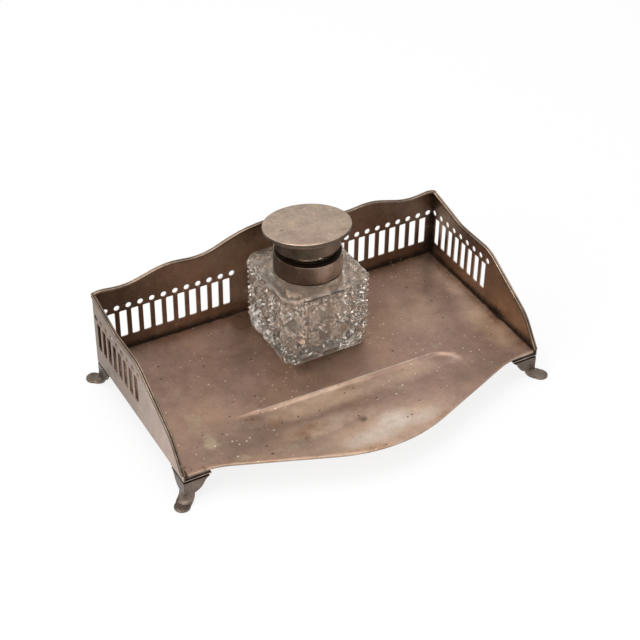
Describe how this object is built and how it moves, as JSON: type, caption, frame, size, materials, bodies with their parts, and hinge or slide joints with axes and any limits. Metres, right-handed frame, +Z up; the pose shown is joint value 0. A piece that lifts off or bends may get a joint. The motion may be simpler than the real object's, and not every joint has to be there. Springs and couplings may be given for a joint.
{
  "type": "desk inkstand",
  "caption": "Footed silver tray with a pierced gallery and pen trough, carrying a loose square cut-glass inkwell under a hinged round lid.",
  "frame": {"origin": "on the table, under the middle of the tray's outline over the feet", "axes": "+X to the right along the tray, +Y to the back gallery, +Z up"},
  "size_m": [0.1918, 0.122, 0.0764],
  "materials": {
    "tray_silver": "tarnished, worn satin",
    "gallery_silver": "heavily tarnished satin",
    "rim_silver": "tarnished, bright along the reeds",
    "foot_silver": "tarnished cast silver",
    "collar_silver": "tarnished satin",
    "lid_silver": "mottled tarnish, bright edge",
    "cut_glass": "clear cut glass",
    "cement": "matt plaster"
  },
  "bodies": {
    "tray": {"tray_plate": "tray_silver", "gallery_back": "gallery_silver", "gallery_left": "gallery_silver", "gallery_right": "gallery_silver", "rim_back": "rim_silver", "rim_left": "rim_silver", "rim_right": "rim_silver", "foot_front_left": "foot_silver", "foot_front_right": "foot_silver", "foot_back_right": "foot_silver", "foot_back_left": "foot_silver"},
    "well": {"glass_well": "cut_glass", "neck_collar": "collar_silver", "neck_cement": "cement", "collar_bezel": "collar_silver", "collar_hinge_leaf": "collar_silver", "hinge_pin": "collar_silver"},
    "lid": {"lid_plate": "lid_silver", "lid_moulding": "lid_silver", "lid_skirt": "collar_silver", "lid_hinge_leaf": "collar_silver"}
  },
  "joints": [
    {"name": "well_lift", "type": "slide", "parent": "tray", "child": "well", "axis": [0, 0, 1], "range_m": [0, 0.06]},
    {"name": "lid_hinge", "type": "hinge", "parent": "well", "child": "lid", "pos_m": [0.0034, 0.0433, 0.06155], "axis": [-1, 0, 0], "range_deg": [-7.3, 87.7]}
  ]
}
